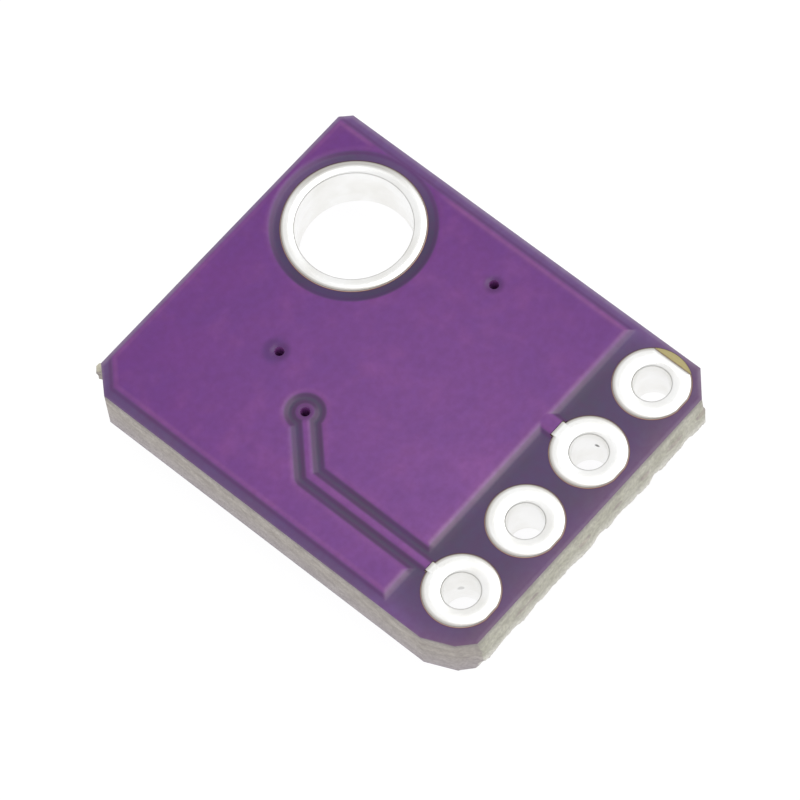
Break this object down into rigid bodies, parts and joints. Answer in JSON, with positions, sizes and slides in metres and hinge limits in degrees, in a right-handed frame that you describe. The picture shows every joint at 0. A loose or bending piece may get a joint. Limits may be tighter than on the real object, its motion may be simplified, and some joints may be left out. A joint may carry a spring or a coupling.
{
  "type": "temperature and humidity sensor module",
  "caption": "Small purple two-layer sensor board, back face up, with a row of plated header holes, a plated mounting hole and its surface-mount parts underneath.",
  "frame": {"origin": "centre of the board's outline, on the surface that its front parts rest on", "axes": "+X along the header row from the data hole to the supply hole, +Y from the header row to the mounting hole, +Z out of the back face, up"},
  "size_m": [0.0104, 0.0132, 0.0027],
  "materials": {
    "laminate": "matte",
    "solder_mask": "gloss",
    "copper": "satin",
    "tinned_copper": "satin",
    "tinned_lead": "satin",
    "solder": "gloss",
    "moulding": "matte",
    "sensing_film": "gloss",
    "capacitor_ceramic": "satin",
    "alumina": "satin",
    "glaze": "gloss"
  },
  "bodies": {
    "root": {"back_data_track": "copper", "back_ground_pour": "copper", "back_solder_mask": "solder_mask", "clock_pullup_body": "alumina", "clock_pullup_end_caps": "tinned_lead", "clock_pullup_glaze": "glaze", "clock_pullup_joints": "solder", "data_pullup_body": "alumina", "data_pullup_end_caps": "tinned_lead", "data_pullup_glaze": "glaze", "data_pullup_joints": "solder", "front_clock_track": "copper", "front_data_track": "copper", "front_ground_pour": "copper", "front_regulated_track": "copper", "front_solder_mask": "solder_mask", "front_supply_track": "copper", "input_capacitor_body": "capacitor_ceramic", "input_capacitor_end_caps": "tinned_lead", "input_capacitor_joints": "solder", "output_capacitor_body": "capacitor_ceramic", "output_capacitor_end_caps": "tinned_lead", "output_capacitor_joints": "solder", "plated_clock_hole": "tinned_copper", "plated_data_hole": "tinned_copper", "plated_ground_hole": "tinned_copper", "plated_mounting_hole": "tinned_copper", "plated_supply_hole": "tinned_copper", "plated_vias": "copper", "regulator_body": "moulding", "regulator_joints": "solder", "regulator_leads": "tinned_lead", "sensing_element": "sensing_film", "sensor_body": "moulding", "sensor_capacitor_body": "capacitor_ceramic", "sensor_capacitor_end_caps": "tinned_lead", "sensor_capacitor_joints": "solder", "sensor_joints": "solder", "sensor_leads": "tinned_lead", "sensor_spare_lands": "copper", "substrate": "laminate"}
  },
  "joints": []
}
